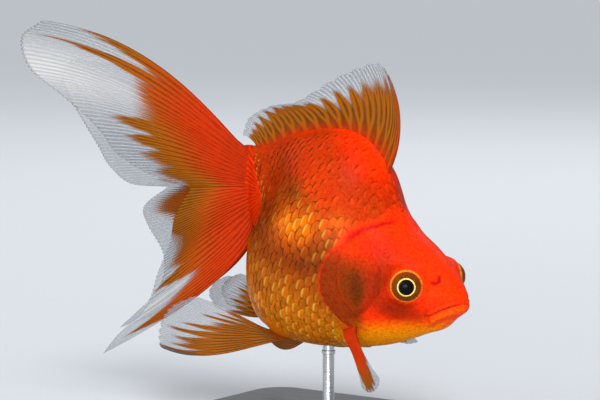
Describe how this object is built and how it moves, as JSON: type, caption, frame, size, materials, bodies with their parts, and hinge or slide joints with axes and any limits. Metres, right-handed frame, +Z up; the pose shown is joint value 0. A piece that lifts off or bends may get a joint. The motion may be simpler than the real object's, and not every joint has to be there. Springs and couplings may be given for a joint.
{
  "type": "ryukin fancy goldfish model",
  "caption": "Life-size Ryukin goldfish in orange and white, swimming nose down with a spread twin tail, held over a small flat base by a steel rod.",
  "frame": {"origin": "on the underside of the stand's base, at its middle", "axes": "+X the way the fish is heading, +Y to the fish's left, +Z up"},
  "size_m": [0.1731, 0.0889, 0.1409],
  "materials": {
    "skin": "wet, metallic-scaled fish skin in red orange, deepening to golden amber on the belly",
    "eye": "clear polished eye with a golden brown iris and a black pupil",
    "fin": "thin translucent fin web over fine rays, orange at the root and clear at the edge",
    "stand_base": "black lacquered wood, satin",
    "stand_rod": "brushed stainless steel"
  },
  "bodies": {
    "root": {"head": "skin", "lower_jaw": "skin", "trunk": "skin", "tail_stalk": "skin", "gill_cover_left": "skin", "gill_cover_right": "skin", "eye_left": "eye", "eye_right": "eye", "dorsal_fin": "fin", "pectoral_fin_left": "fin", "pectoral_fin_right": "fin", "pelvic_fin_left": "fin", "pelvic_fin_right": "fin", "anal_fin_left": "fin", "anal_fin_right": "fin", "tail_upper_left": "fin", "tail_upper_right": "fin", "tail_lower_left": "fin", "tail_lower_right": "fin", "stand_base": "stand_base", "stand_rod": "stand_rod"}
  },
  "joints": []
}
